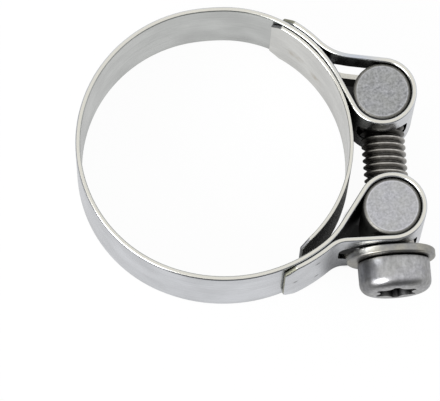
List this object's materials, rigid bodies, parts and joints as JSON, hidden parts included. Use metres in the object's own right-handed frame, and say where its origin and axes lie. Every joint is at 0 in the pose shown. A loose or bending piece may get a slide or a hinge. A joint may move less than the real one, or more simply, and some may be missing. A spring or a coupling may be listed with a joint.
{
  "type": "exhaust pipe clamp",
  "caption": "Trunnion-screw pipe clamp: sheet band with two slotted folded loops, a bridge strip, solid pins in the loops, and a six-lobe cap screw with washer.",
  "frame": {"origin": "on the axis of the bore, on the plane of the lower rim that the clamp lies on", "axes": "+Z along the pipe's axis; +X from the bore to the loops; the screw runs along Y, its head towards -Y"},
  "size_m": [0.063, 0.0525, 0.02],
  "materials": {
    "band_steel": "bright rolled stainless",
    "bridge_steel": "satin rolled stainless",
    "pin_steel": "dull zinc",
    "washer_steel": "dull, yellowish zinc",
    "screw_steel": "dull zinc"
  },
  "bodies": {
    "clamp": {"band": "band_steel", "bridge": "bridge_steel", "threaded_pin": "pin_steel", "plain_pin": "pin_steel"},
    "washer": {"washer": "washer_steel"},
    "screw": {"cap_screw": "screw_steel"}
  },
  "joints": [
    {"name": "screw_travel", "type": "slide", "parent": "clamp", "child": "washer", "axis": [0, -1, 0], "range_m": [0, 0.01]},
    {"name": "screw_turn", "type": "hinge", "parent": "washer", "child": "screw", "pos_m": [0.03047, -0.02757, 0.01], "axis": [0, -1, 0], "range_deg": [0, 2881]}
  ],
  "couplings": [
    {"joint": "screw_turn", "follows": "screw_travel", "rad_per_m": 5026.5}
  ]
}
